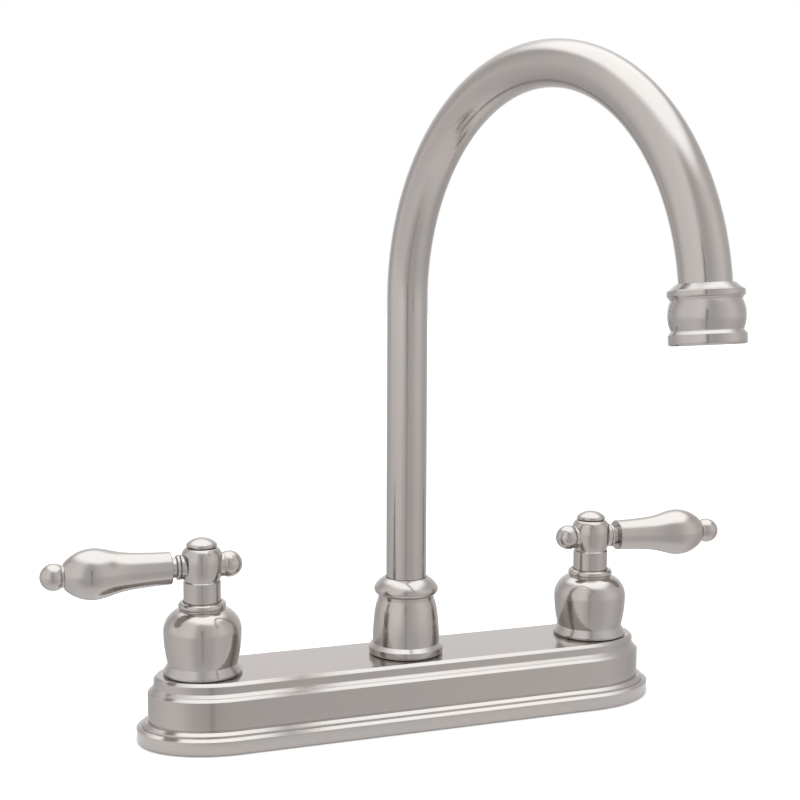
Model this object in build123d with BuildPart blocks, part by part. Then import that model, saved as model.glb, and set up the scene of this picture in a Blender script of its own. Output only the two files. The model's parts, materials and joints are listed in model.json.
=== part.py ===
from build123d import *

import os
from math import cos, radians, sin

os.makedirs("parts", exist_ok=True)

# Two-handle kitchen faucet on a long deck plate, with a swivelling gooseneck spout.
# Millimetres. The origin is the middle of the plate's underside, on the spout's axis.
# +X runs along the plate to the cold side, -Y points to the sink and +Z is up.

# ---------------------------------------------------------------- driving sizes
# Deck plate: five tiers, each drawn in from the foot's outline, with a bevelled top edge
handle_spacing = 203.2
plate_overhang = 31.2
plate_width = 60.6
plate_end_length = 41.9
plate_wall = 2.5
foot_height = 8.0
foot_bevel_height = 1.15
foot_bevel_inset = 1.7
foot_lower_radius = 1.5
bead_inset = 2.4
bead_height = 2.05
bead_bevel_height = 1.25
bead_bevel_inset = 1.6
body_inset = 5.3
body_height = 14.7
body_bevel_height = 1.3
body_bevel_inset = 1.4
rim_inset = 6.7
rim_height = 1.6
rim_bevel_height = 1.45
rim_bevel_inset = 1.35
platform_inset = 8.1
platform_height = 4.9
platform_bevel_height = 1.4
platform_bevel_inset = 1.4
gasket_thickness = 3.0

# Gaps between neighbours
thread_gap = 0.05
seat_gap = 0.3
running_gap = 0.06
swivel_gap = 0.2
face_gap = 0.05

# Brass underbody: two valve bodies, a spout hub and the two tubes between them
shank_radius = 10.45
shank_length = 50.0
supply_thread_length = 18.0
shank_relief_width = 1.4
shank_relief_depth = 0.8
water_way_radius = 6.0
valve_block_radius = 14.8
hub_block_radius = 14.0
neck_radius = 12.0
valve_neck_height = 12.0
seat_height = 8.0
chamber_radius = 9.8
port_height = 18.0
port_radius = 5.0
cross_tube_radius = 6.5
socket_wall = 2.0
socket_reach = 18.0
socket_depth = 5.0

# Fasteners under the deck and under the covers
deck_gap = 20.0
washer_radius = 19.0
washer_thickness = 1.6
nut_radius = 14.5
nut_height = 9.0
wing_pairs = 2
wing_reach = 21.0
wing_thickness = 4.0
lock_nut_radius = 14.4
lock_nut_height = 5.2
lock_nut_slot_pairs = 2
lock_nut_slot_width = 3.0
lock_nut_slot_depth = 1.2

# Ceramic-disc cartridges
barrel_radius = 8.8
barrel_wall = 1.1
barrel_height = 28.0
window_height = 4.5
window_width = 7.0
cartridge_hex_flats = 21.0
cartridge_hex_height = 6.0
guide_radius = 7.2
guide_height = 8.6
seal_thickness = 3.1
seal_wall = 1.7
disc_thickness = 3.0
disc_port_angle = 80.0
disc_port_inner_radius = 2.2
disc_port_outer_radius = 6.2
stem_radius = 5.0
stem_fork_height = 4.6
stem_fork_width = 5.0
stem_groove_width = 1.8
stem_groove_depth = 1.2
stem_groove_pitch = 5.0
stem_groove_count = 2
spline_radius = 4.0
spline_depth = 0.4
spline_teeth = 20

# Bell over each valve; heights are above the plate
bell_flange_radius = 18.4
bell_flange_height = 4.9
bell_flange_rim = 1.6
bell_flange_edge = 0.7
bell_foot_radius = 16.3
bell_radius = 18.2
bell_widest_height = 20.2
bell_shoulder_radius = 11.4
bell_shoulder_height = 30.4
bell_groove_radius = 10.7
bell_groove_height = 0.5
bell_ring_radius = 11.2
bell_ring_height = 3.6
bell_wall = 2.0
bell_thread_height = 6.0

# Handle: a turned hub on the cartridge stem, and a lever through its head
hub_radius = 8.7
hub_skirt_depth = 5.5
hub_stem_height = 9.9
hub_head_radius = 9.8
hub_head_top_radius = 7.5
hub_head_height = 15.4
hub_shoulder_radius = 9.5
hub_shoulder_drop = 3.4
hub_groove = 0.5
lever_height = 16.7
lever_turn = -2.4
lever_droop = 0.7
boss_radius = 5.8
boss_proud = 0.2
screw_recess_radius = 4.2
screw_recess_depth = 12.6
screw_web = 3.0
screw_radius = 2.0
screw_length = 13.0
screw_head_radius = 3.6
screw_head_height = 2.4
screw_socket_flats = 3.0
plug_radius = 5.0
plug_depth = 5.0
button_radius = 7.2
button_rim_height = 2.2
button_rim_inset = 0.45
button_foot_inset = 0.8
button_height = 4.7

# Lever; lengths are along its axis, from the hub's axis
rod_radius = 2.5
rod_start = 4.6
collar_radius = 5.9
collar_width = 2.2
collar_neck_radius = 4.7
grip_start = 14.3
grip_start_radius = 7.6
grip_edge_radius = 0.6
grip_waist_at = 27.0
grip_waist_radius = 8.1
grip_swell_at = 38.5
grip_swell_radius = 9.5
grip_radius = 11.8
grip_widest_at = 49.2
grip_taper_at = 57.5
grip_taper_radius = 9.9
grip_end = 62.7
grip_end_radius = 6.0
finial_neck_radius = 5.1
finial_neck_width = 0.9
ball_radius = 6.2
tip_ball_at = 67.2
back_ball_at = 12.8
rod_grip_depth = 3.5

# Spout base: a vase-shaped cover and the ring nut on top of it
cover_flange_radius = 18.2
cover_flange_height = 5.4
cover_flange_bevel = 1.8
cover_flange_edge = 1.2
cover_foot_radius = 16.4
cover_top_radius = 15.2
cover_height = 21.8
cover_shoulder_height = 5.6
cover_neck_radius = 13.6
cover_neck_height = 1.8
cover_wall = 2.2
nut_gap_height = 0.2
ring_radius = 15.65
ring_foot_radius = 14.2
ring_widest_height = 2.3
ring_shoulder_radius = 15.2
ring_shoulder_height = 4.1
ring_top_height = 8.3
ring_lip = 0.6
hub_thread_radius = 11.6
hub_rim_height = 31.0

# Gooseneck
tube_radius = 9.8
tube_wall = 1.2
arc_radius = 100.0
spring_line_height = 173.4
spout_turn = 11.7
outlet_tilt = 5.0
spigot_bore_radius = 9.0
spigot_wall = 2.5
spigot_length = 26.0
spigot_flange_radius = 11.2
spigot_flange_thickness = 1.7
spigot_sleeve_length = 7.5
spigot_hub_floor = 6.0
o_ring_groove_width = 2.4
o_ring_groove_depth = 1.35
o_ring_pitch = 6.0
o_ring_count = 2
bearing_thickness = 0.9

# Outlet: a turned collar with the aerator inside; lengths run down the outlet's axis
collar_above_tube_end = 3.2
outlet_length = 22.4
outlet_lip_radius = 10.7
outlet_cone_radius = 13.4
outlet_cone_length = 2.3
outlet_ring_radius = 14.1
outlet_ring_length = 2.8
outlet_waist_radius = 12.9
outlet_waist_at = 6.0
outlet_bulb_radius = 14.2
outlet_bulb_at = 11.7
outlet_low_waist_radius = 13.1
outlet_low_waist_at = 16.9
outlet_low_ring_radius = 14.3
outlet_low_ring_length = 4.0
outlet_edge = 0.7
outlet_bottom_edge = 1.2
outlet_stop_length = 4.6
aerator_radius = 12.0
aerator_wall = 2.1
aerator_recess = 0.6
aerator_washer_thickness = 1.5
aerator_insert_height = 8.0
aerator_lip = 1.2
aerator_plate = 1.4
aerator_hole_radius = 0.75
aerator_hole_pitch = 2.4

# ---------------------------------------------------------------- worked-out places
half_spacing = handle_spacing / 2
plate_length = handle_spacing + 2 * plate_overhang
plate_straight = plate_length / 2 - plate_end_length
body_bottom = foot_height + bead_height
rim_bottom = body_bottom + body_height
platform_bottom = rim_bottom + rim_height
deck_top = platform_bottom + platform_height
clamp_height = deck_top - plate_wall
valve_neck_top = deck_top + valve_neck_height
lock_nut_top = deck_top + lock_nut_height

barrel_bore_radius = barrel_radius - barrel_wall
fixed_disc_bottom = seat_height + seal_thickness
moving_disc_bottom = fixed_disc_bottom + disc_thickness + face_gap
fork_bottom = moving_disc_bottom + disc_thickness + face_gap
fork_top = fork_bottom + stem_fork_height
barrel_top = seat_height + barrel_height
hex_bottom = valve_neck_top
hex_top = hex_bottom + cartridge_hex_height
guide_top = hex_top + guide_height

bell_ring_bottom = deck_top + bell_shoulder_height
bell_top = bell_ring_bottom + bell_ring_height
hub_bottom = bell_top - hub_skirt_depth
head_bottom = bell_top + hub_stem_height
head_top = head_bottom + hub_head_height
lever_axis_height = bell_top + lever_height
recess_floor = head_top - screw_recess_depth
boss_reach = hub_head_radius + boss_proud
spline_bottom = hub_bottom - seat_gap
spline_top = recess_floor - screw_web

cover_top = deck_top + cover_height + cover_shoulder_height + cover_neck_height
nut_bottom = cover_top + nut_gap_height
nut_top = nut_bottom + ring_top_height
hub_rim = deck_top + hub_rim_height
flange_bottom = hub_rim + bearing_thickness + face_gap
flange_top = flange_bottom + spigot_flange_thickness
glide_bottom = flange_top + face_gap
nut_shoulder = glide_bottom + bearing_thickness
spring_line = deck_top + spring_line_height
nut_bore_radius = tube_radius + swivel_gap
spigot_radius = spigot_bore_radius - running_gap

# The spout's own plane: out is level, along its reach; the outlet points down and out
spout_out = Vector(sin(radians(spout_turn)), -cos(radians(spout_turn)), 0)
spout_side = Vector(cos(radians(spout_turn)), sin(radians(spout_turn)), 0)
outlet_down = spout_out * sin(radians(outlet_tilt)) - Vector(0, 0, cos(radians(outlet_tilt)))
tube_end = spout_out * (arc_radius * (1 + cos(radians(outlet_tilt)))) + Vector(
    0, 0, spring_line + arc_radius * sin(radians(outlet_tilt))
)


# ---------------------------------------------------------------- helpers
def save(piece, name):
    """Label a finished piece and write it."""
    piece.part.label = name
    export_step(piece.part, f"parts/{name}.step")


def upright(x=0.0):
    """A vertical plane through (x, 0): local x is a radius and local y a height."""
    return Plane(origin=(x, 0, 0), x_dir=(1, 0, 0), z_dir=(0, -1, 0))


def upright_axis(x=0.0):
    """The vertical axis through (x, 0)."""
    return Axis((x, 0, 0), (0, 0, 1))


def closed(*points, mode=Mode.ADD):
    """A face inside a closed run of straight lines."""
    with BuildLine() as outline:
        Polyline(*points, close=True)
    make_face(outline.edges(), mode=mode)


def block(left, right, bottom, top, mode=Mode.ADD):
    """A rectangular face between two values of local x and two of local y."""
    closed((left, bottom), (right, bottom), (right, top), (left, top), mode=mode)


def tier_outline(inset):
    """The plate's outline drawn in by inset: straight sides and half-ellipse ends."""
    end_x = plate_end_length - inset
    end_y = plate_width / 2 - inset
    with BuildLine() as outline:
        Line((-plate_straight, -end_y), (plate_straight, -end_y))
        EllipticalCenterArc((plate_straight, 0), end_x, end_y, -90, arc_size=180)
        Line((plate_straight, end_y), (-plate_straight, end_y))
        EllipticalCenterArc((-plate_straight, 0), end_x, end_y, 90, arc_size=180)
    make_face(outline.edges())


def tier(bottom, height, inset, bevel_height, bevel_inset):
    """One tier of the plate: an upright band and a bevelled upper edge."""
    band_height = height - bevel_height
    with BuildSketch(Plane.XY.offset(bottom)) as outline:
        tier_outline(inset)
    extrude(outline.sketch, amount=band_height)
    with BuildSketch(Plane.XY.offset(bottom + band_height)) as bevel_foot:
        tier_outline(inset)
    with BuildSketch(Plane.XY.offset(bottom + height)) as bevel_head:
        tier_outline(inset + bevel_inset)
    loft([bevel_foot.sketch, bevel_head.sketch], ruled=True)


def spline_outline(root, tip, teeth):
    """A toothed star for the stem's drive."""
    step = 360 / teeth
    points = []
    for tooth in range(teeth):
        for share, radius in ((0.0, tip), (0.25, tip), (0.5, root), (0.75, root)):
            angle = radians((tooth + share) * step)
            points.append((radius * cos(angle), radius * sin(angle)))
    closed(*points)


def sector(inner, outer, start, size):
    """A ring sector, as the water ports in the ceramic discs."""
    first = radians(start)
    last = radians(start + size)
    with BuildLine() as outline:
        CenterArc((0, 0), outer, start, size)
        Line((outer * cos(last), outer * sin(last)), (inner * cos(last), inner * sin(last)))
        CenterArc((0, 0), inner, start, size)
        Line((inner * cos(first), inner * sin(first)), (outer * cos(first), outer * sin(first)))
    make_face(outline.edges())


# ---------------------------------------------------------------- deck plate and gasket
with BuildPart() as deck_plate:
    tier(0, foot_height, 0, foot_bevel_height, foot_bevel_inset)
    tier(foot_height, bead_height, bead_inset, bead_bevel_height, bead_bevel_inset)
    tier(body_bottom, body_height, body_inset, body_bevel_height, body_bevel_inset)
    tier(rim_bottom, rim_height, rim_inset, rim_bevel_height, rim_bevel_inset)
    tier(
        platform_bottom,
        platform_height,
        platform_inset,
        platform_bevel_height,
        platform_bevel_inset,
    )
    fillet(edges().group_by(Axis.Z)[0], foot_lower_radius)
    for cavity_inset, cavity_height in (
        (plate_wall, foot_height - plate_wall),
        (body_inset + plate_wall, rim_bottom - plate_wall),
        (rim_inset + plate_wall, platform_bottom - plate_wall),
        (platform_inset + plate_wall, clamp_height),
    ):
        with BuildSketch():
            tier_outline(cavity_inset)
        extrude(amount=cavity_height, mode=Mode.SUBTRACT)
    with BuildSketch():
        with GridLocations(half_spacing, 0, 3, 1):
            Circle(neck_radius + seat_gap)
    extrude(amount=deck_top, mode=Mode.SUBTRACT)
save(deck_plate, "deck_plate")

with BuildPart() as deck_gasket:
    with BuildSketch():
        tier_outline(plate_wall + seat_gap)
        with GridLocations(handle_spacing, 0, 2, 1):
            Circle(shank_radius + seat_gap, mode=Mode.SUBTRACT)
    extrude(amount=gasket_thickness)
save(deck_gasket, "deck_gasket")


# ---------------------------------------------------------------- brass underbody
def side_socket(x, toward):
    """A boss and socket for a cross tube, from the axis at x toward +X or -X."""
    plane = Plane(origin=(x, 0, port_height), x_dir=(0, 1, 0), z_dir=(toward, 0, 0))
    with BuildSketch(plane) as boss:
        Circle(cross_tube_radius + socket_wall)
    extrude(boss.sketch, amount=socket_reach)
    with BuildSketch(plane.offset(socket_reach)) as socket:
        Circle(cross_tube_radius + thread_gap)
    extrude(socket.sketch, amount=-socket_depth, mode=Mode.SUBTRACT)


def side_port(x, toward):
    """The water way from a chamber out to its cross tube."""
    plane = Plane(origin=(x, 0, port_height), x_dir=(0, 1, 0), z_dir=(toward, 0, 0))
    with BuildSketch(plane) as port:
        Circle(port_radius)
    extrude(port.sketch, amount=socket_reach, mode=Mode.SUBTRACT)


def make_valve_body(name, x, toward):
    """Shank, block and threaded neck of one valve, bored for water and cartridge.
    A relief groove parts the shank's supply thread from its mounting thread."""
    relief_bottom = supply_thread_length - shank_length
    relief_radius = shank_radius - shank_relief_depth
    with BuildPart() as valve_body:
        with BuildSketch(upright(x)):
            closed(
                (0, -shank_length),
                (shank_radius, -shank_length),
                (shank_radius, relief_bottom),
                (relief_radius, relief_bottom),
                (relief_radius, relief_bottom + shank_relief_width),
                (shank_radius, relief_bottom + shank_relief_width),
                (shank_radius, gasket_thickness),
                (valve_block_radius, gasket_thickness),
                (valve_block_radius, clamp_height),
                (neck_radius, clamp_height),
                (neck_radius, valve_neck_top),
                (0, valve_neck_top),
            )
        revolve(axis=upright_axis(x))
        side_socket(x, toward)
        with BuildSketch(upright(x)):
            block(0, water_way_radius, -shank_length, seat_height)
            block(0, chamber_radius, seat_height, valve_neck_top)
        revolve(axis=upright_axis(x), mode=Mode.SUBTRACT)
        side_port(x, toward)
    save(valve_body, name)


make_valve_body("hot_valve_body", -half_spacing, 1)
make_valve_body("cold_valve_body", half_spacing, -1)

with BuildPart() as spout_hub:
    with BuildSketch(upright()):
        closed(
            (0, gasket_thickness),
            (hub_block_radius, gasket_thickness),
            (hub_block_radius, clamp_height),
            (neck_radius, clamp_height),
            (neck_radius, lock_nut_top),
            (hub_thread_radius, lock_nut_top),
            (hub_thread_radius, hub_rim),
            (0, hub_rim),
        )
    revolve(axis=upright_axis())
    side_socket(0, 1)
    side_socket(0, -1)
    with BuildSketch(upright()):
        block(0, spigot_bore_radius, gasket_thickness + spigot_hub_floor, hub_rim)
    revolve(axis=upright_axis(), mode=Mode.SUBTRACT)
    side_port(0, 1)
    side_port(0, -1)
save(spout_hub, "spout_hub")


def make_cross_tube(name, toward):
    """The tube from the spout hub's socket to the valve body's socket."""
    start = toward * (socket_reach - socket_depth)
    length = half_spacing - 2 * (socket_reach - socket_depth)
    with BuildPart() as cross_tube:
        plane = Plane(origin=(start, 0, port_height), x_dir=(0, 1, 0), z_dir=(toward, 0, 0))
        with BuildSketch(plane):
            Circle(cross_tube_radius)
            Circle(port_radius, mode=Mode.SUBTRACT)
        extrude(amount=length)
    save(cross_tube, name)


make_cross_tube("hot_cross_tube", -1)
make_cross_tube("cold_cross_tube", 1)

# ---------------------------------------------------------------- fasteners
with BuildPart() as mounting_washers:
    with BuildSketch(Plane.XY.offset(-deck_gap)):
        with GridLocations(handle_spacing, 0, 2, 1):
            Circle(washer_radius)
            Circle(shank_radius + seat_gap, mode=Mode.SUBTRACT)
    extrude(amount=-washer_thickness)
save(mounting_washers, "mounting_washers")

with BuildPart() as mounting_nuts:
    with BuildSketch(Plane.XY.offset(-deck_gap - washer_thickness)):
        with GridLocations(handle_spacing, 0, 2, 1):
            Circle(nut_radius)
            with PolarLocations(0, wing_pairs, angular_range=180):
                SlotOverall(2 * wing_reach, wing_thickness)
            Circle(shank_radius + thread_gap, mode=Mode.SUBTRACT)
    extrude(amount=-nut_height)
save(mounting_nuts, "mounting_nuts")

with BuildPart() as body_lock_nuts:
    with BuildSketch(Plane.XY.offset(deck_top)):
        with GridLocations(half_spacing, 0, 3, 1):
            Circle(lock_nut_radius)
            Circle(neck_radius + thread_gap, mode=Mode.SUBTRACT)
    extrude(amount=lock_nut_height)
    slot_floor = lock_nut_top - lock_nut_slot_depth
    with BuildSketch(Plane.XY.offset(slot_floor)):
        with GridLocations(half_spacing, 0, 3, 1):
            with PolarLocations(0, lock_nut_slot_pairs, angular_range=180):
                Rectangle(2 * lock_nut_radius, lock_nut_slot_width)
            Circle(neck_radius + thread_gap, mode=Mode.SUBTRACT)
    extrude(amount=lock_nut_slot_depth, mode=Mode.SUBTRACT)
save(body_lock_nuts, "body_lock_nuts")


# ---------------------------------------------------------------- cartridges
def make_cartridge_shell(name, x):
    """Brass shell with thread, hex and stem guide, and windows for the water."""
    with BuildPart() as shell:
        with BuildSketch(upright(x)):
            closed(
                (0, seat_height),
                (barrel_radius, seat_height),
                (barrel_radius, barrel_top),
                (chamber_radius - thread_gap, barrel_top),
                (chamber_radius - thread_gap, hex_bottom),
                (guide_radius, hex_bottom),
                (guide_radius, guide_top),
                (0, guide_top),
            )
        revolve(axis=upright_axis(x))
        with BuildSketch(Plane(origin=(x, 0, hex_bottom))):
            RegularPolygon(cartridge_hex_flats / 2, 6, major_radius=False)
        extrude(amount=cartridge_hex_height)
        with BuildSketch(upright(x)):
            block(0, barrel_bore_radius, seat_height, fork_top + face_gap)
            block(0, stem_radius + running_gap, fork_top + face_gap, guide_top)
        revolve(axis=upright_axis(x), mode=Mode.SUBTRACT)
        window_middle = fork_bottom + window_height / 2
        with BuildSketch(Plane(origin=(x, 0, window_middle), x_dir=(1, 0, 0), z_dir=(0, 1, 0))):
            Rectangle(window_width, window_height)
        extrude(amount=barrel_radius, both=True, mode=Mode.SUBTRACT)
    save(shell, name)


def make_seat_seal(name, x):
    """Rubber seal between the valve body's seat and the fixed disc."""
    with BuildPart() as seal:
        with BuildSketch(Plane(origin=(x, 0, seat_height))):
            Circle(barrel_bore_radius - face_gap)
            Circle(barrel_bore_radius - face_gap - seal_wall, mode=Mode.SUBTRACT)
        extrude(amount=seal_thickness)
    save(seal, name)


def make_disc(name, x, bottom, radius, start):
    """A ceramic disc with two ports; turning one over the other opens the water."""
    with BuildPart() as disc:
        with BuildSketch(Plane(origin=(x, 0, bottom))):
            Circle(radius)
        extrude(amount=disc_thickness)
        for port in range(2):
            with BuildSketch(Plane(origin=(x, 0, bottom))):
                sector(
                    disc_port_inner_radius,
                    disc_port_outer_radius,
                    start + port * 180 - disc_port_angle / 2,
                    disc_port_angle,
                )
            extrude(amount=disc_thickness, mode=Mode.SUBTRACT)
    save(disc, name)


def make_stem(name, x):
    """Stem: fork on the moving disc, two o-ring grooves, splined end with a tapped hole."""
    with BuildPart() as stem:
        with BuildSketch(Plane(origin=(x, 0, fork_bottom))):
            Circle(barrel_bore_radius - seat_gap)
            Rectangle(2 * barrel_bore_radius, stem_fork_width, mode=Mode.INTERSECT)
        extrude(amount=stem_fork_height)
        with BuildSketch(upright(x)):
            block(0, stem_radius, fork_top, spline_bottom)
        revolve(axis=upright_axis(x))
        with BuildSketch(Plane(origin=(x, 0, spline_bottom))):
            spline_outline(spline_radius - spline_depth, spline_radius, spline_teeth)
        extrude(amount=spline_top - spline_bottom)
        with BuildSketch(upright(x)):
            block(0, screw_radius, spline_top - screw_length, spline_top)
            for groove in range(stem_groove_count):
                bottom = hex_bottom + groove * stem_groove_pitch
                block(
                    stem_radius - stem_groove_depth,
                    stem_radius + face_gap,
                    bottom,
                    bottom + stem_groove_width,
                )
        revolve(axis=upright_axis(x), mode=Mode.SUBTRACT)
    save(stem, name)


def make_stem_o_rings(name, x):
    """O-rings in the stem's grooves, just clear of the shell's bore."""
    outer = stem_radius + running_gap / 2
    inner = stem_radius - stem_groove_depth
    section = (outer - inner) / 2
    with BuildPart() as rings:
        with BuildSketch(upright(x)):
            for groove in range(stem_groove_count):
                middle = hex_bottom + groove * stem_groove_pitch + stem_groove_width / 2
                with Locations((inner + section, middle)):
                    Circle(section)
        revolve(axis=upright_axis(x))
    save(rings, name)


# ---------------------------------------------------------------- bell
def make_bell(name, x):
    """Turned shell over the valve, screwed on the lock nut; the hub turns in its neck."""
    flange_top = deck_top + bell_flange_height
    widest = (bell_radius, deck_top + bell_widest_height)
    ring_foot = bell_ring_bottom + bell_groove_height
    ring_middle = (ring_foot + bell_top) / 2
    neck_bore = hub_radius + seat_gap
    with BuildPart() as bell:
        with BuildSketch(upright(x)):
            with BuildLine():
                Polyline(
                    (0, deck_top),
                    (bell_flange_radius - bell_flange_edge, deck_top),
                    (bell_flange_radius, deck_top + bell_flange_edge),
                    (bell_flange_radius, deck_top + bell_flange_rim),
                    (bell_foot_radius, flange_top),
                )
                TangentArc(widest, (bell_foot_radius, flange_top), tangent=(0, -1))
                TangentArc(widest, (bell_shoulder_radius, bell_ring_bottom), tangent=(0, 1))
                Polyline(
                    (bell_shoulder_radius, bell_ring_bottom),
                    (bell_groove_radius, bell_ring_bottom),
                    (bell_groove_radius, ring_foot),
                )
                ThreePointArc(
                    (bell_groove_radius, ring_foot),
                    (bell_ring_radius, ring_middle),
                    (neck_bore + bell_wall / 2, bell_top),
                )
                Line((neck_bore + bell_wall / 2, bell_top), (0, bell_top))
                Line((0, bell_top), (0, deck_top))
            make_face()
        revolve(axis=upright_axis(x))
        cavity_top = bell_ring_bottom - bell_wall
        thread_land = lock_nut_radius + thread_gap
        thread_top = deck_top + bell_thread_height
        with BuildSketch(upright(x)):
            with BuildLine():
                cavity_widest = (bell_radius - bell_wall, deck_top + bell_widest_height)
                Polyline((0, deck_top), (thread_land, deck_top), (thread_land, thread_top))
                TangentArc(cavity_widest, (thread_land, thread_top), tangent=(0, -1))
                TangentArc(cavity_widest, (neck_bore, cavity_top), tangent=(0, 1))
                Line((neck_bore, cavity_top), (neck_bore, bell_top))
                Line((neck_bore, bell_top), (0, bell_top))
                Line((0, bell_top), (0, deck_top))
            make_face()
        revolve(axis=upright_axis(x), mode=Mode.SUBTRACT)
    save(bell, name)


# ---------------------------------------------------------------- handle
def lever_direction(toward):
    """Unit vector along the lever, out from the hub."""
    turn = radians(lever_turn)
    droop = radians(lever_droop)
    return Vector(
        toward * cos(turn) * cos(droop),
        toward * sin(turn) * cos(droop),
        -sin(droop),
    )


def along_plane(x, direction):
    """A plane through the head's middle: local x runs along direction, local y is a radius."""
    level = direction.cross(Vector(0, 0, 1)).normalized()
    return Plane(origin=(x, 0, lever_axis_height), x_dir=direction, z_dir=level)


def along_axis(x, direction):
    """The axis through the head's middle that the lever's pieces are turned about."""
    return Axis((x, 0, lever_axis_height), direction)


def make_hub(name, x, toward):
    """Stem and barrel-shaped head in one turning, with bosses for the lever and finial."""
    along = lever_direction(toward)
    cross_plane = Plane(origin=(x, 0, lever_axis_height), z_dir=along)
    with BuildPart() as hub:
        with BuildSketch(upright(x)):
            with BuildLine():
                Polyline(
                    (0, hub_bottom),
                    (hub_radius, hub_bottom),
                    (hub_radius, head_bottom - hub_groove),
                    (hub_radius - hub_groove, head_bottom),
                )
                barrel = ThreePointArc(
                    (hub_radius - hub_groove, head_bottom),
                    (hub_head_radius, head_bottom + hub_head_height / 2),
                    (hub_shoulder_radius, head_top - hub_shoulder_drop),
                )
                TangentArc(barrel @ 1, (hub_head_top_radius, head_top), tangent=barrel % 1)
                Polyline((hub_head_top_radius, head_top), (0, head_top), (0, hub_bottom))
            make_face()
        revolve(axis=upright_axis(x))
        with BuildSketch(cross_plane):
            Circle(boss_radius)
        extrude(amount=boss_reach, both=True)
        with BuildSketch(upright(x)):
            block(0, screw_radius + thread_gap, spline_top, head_top)
            block(0, screw_recess_radius, recess_floor, head_top)
            block(0, plug_radius, head_top - plug_depth, head_top)
        revolve(axis=upright_axis(x), mode=Mode.SUBTRACT)
        with BuildSketch(Plane(origin=(x, 0, hub_bottom))):
            spline_outline(
                spline_radius - spline_depth + face_gap, spline_radius + face_gap, spline_teeth
            )
        extrude(amount=spline_top - hub_bottom, mode=Mode.SUBTRACT)
        with BuildSketch(cross_plane):
            Circle(rod_radius + thread_gap)
        extrude(amount=boss_reach, both=True, mode=Mode.SUBTRACT)
    save(hub, name)


def make_handle_screw(name, x):
    """Socket-head screw that holds the hub down on the stem."""
    with BuildPart() as screw:
        with BuildSketch(upright(x)):
            block(0, screw_head_radius, recess_floor, recess_floor + screw_head_height)
            block(
                0, screw_radius - thread_gap, spline_top - screw_length + seat_gap, recess_floor
            )
        revolve(axis=upright_axis(x))
        with BuildSketch(Plane(origin=(x, 0, recess_floor + screw_head_height))):
            RegularPolygon(screw_socket_flats / 2, 6, major_radius=False)
        extrude(amount=-screw_head_height / 2, mode=Mode.SUBTRACT)
    save(screw, name)


def make_button(name, x):
    """Domed button that plugs the screw recess in the hub's head."""
    rim_top = head_top + button_rim_height
    dome_top = head_top + button_height
    rim_edge = button_radius - button_rim_inset
    foot_edge = button_radius - button_foot_inset
    with BuildPart() as button:
        with BuildSketch(upright(x)):
            with BuildLine():
                Line((0, head_top), (foot_edge, head_top))
                ThreePointArc(
                    (foot_edge, head_top),
                    (button_radius, (head_top + rim_top) / 2),
                    (rim_edge, rim_top),
                )
                TangentArc((0, dome_top), (rim_edge, rim_top), tangent=(1, 0))
                Line((0, dome_top), (0, head_top))
            make_face()
            block(0, plug_radius - thread_gap, head_top - plug_depth, head_top)
        revolve(axis=upright_axis(x))
    save(button, name)


def make_collar(name, x, toward):
    """Collar between hub and grip: a rounded flange and a thinner neck."""
    flange_end = boss_reach + collar_width
    bore = rod_radius + thread_gap
    with BuildPart() as collar:
        with BuildSketch(along_plane(x, lever_direction(toward))):
            with BuildLine():
                Line((boss_reach, bore), (boss_reach, collar_neck_radius))
                ThreePointArc(
                    (boss_reach, collar_neck_radius),
                    (boss_reach + collar_width / 2, collar_radius),
                    (flange_end, collar_neck_radius),
                )
                Polyline(
                    (flange_end, collar_neck_radius),
                    (grip_start, collar_neck_radius),
                    (grip_start, bore),
                    (boss_reach, bore),
                )
            make_face()
        revolve(axis=along_axis(x, lever_direction(toward)))
    save(collar, name)


def make_grip(name, x, toward):
    """Lever grip: slim at the hub, swelling to its widest, then closing to the finial."""
    bore = rod_radius + thread_gap
    edge = grip_edge_radius
    with BuildPart() as grip:
        with BuildSketch(along_plane(x, lever_direction(toward))):
            with BuildLine():
                Line((grip_start, bore), (grip_start, grip_start_radius - edge))
                TangentArc(
                    (grip_start, grip_start_radius - edge),
                    (grip_start + edge, grip_start_radius),
                    tangent=(0, 1),
                )
                Spline(
                    (grip_start + edge, grip_start_radius),
                    (grip_waist_at, grip_waist_radius),
                    (grip_swell_at, grip_swell_radius),
                    (grip_widest_at, grip_radius),
                    (grip_taper_at, grip_taper_radius),
                    (grip_end, grip_end_radius),
                )
                Polyline((grip_end, grip_end_radius), (grip_end, bore), (grip_start, bore))
            make_face()
        revolve(axis=along_axis(x, lever_direction(toward)))
    save(grip, name)


def finial_outline(seat, middle):
    """Half outline of a finial: a short neck on its seat, then a ball cut off at the seat."""
    with BuildLine() as outline:
        CenterArc((middle, 0), ball_radius, 0, 180)
        Line((middle - ball_radius, 0), (middle + ball_radius, 0))
    make_face(outline.edges())
    block(seat - ball_radius, seat, 0, ball_radius, mode=Mode.SUBTRACT)
    block(seat, seat + finial_neck_width, 0, finial_neck_radius)


def make_tip_finial(name, x, toward):
    """Cap nut that holds the grip on its rod."""
    with BuildPart() as finial:
        with BuildSketch(along_plane(x, lever_direction(toward))):
            finial_outline(grip_end, tip_ball_at)
            block(
                grip_end, tip_ball_at + rod_grip_depth, 0, rod_radius + thread_gap, Mode.SUBTRACT
            )
        revolve(axis=along_axis(x, lever_direction(toward)))
    save(finial, name)


def make_back_finial(name, x, toward):
    """Finial on the far side of the head, with its own stud in the hub."""
    backward = -lever_direction(toward)
    with BuildPart() as finial:
        with BuildSketch(along_plane(x, backward)):
            finial_outline(boss_reach, back_ball_at)
            block(rod_start, boss_reach, 0, rod_radius)
        revolve(axis=along_axis(x, backward))
    save(finial, name)


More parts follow.
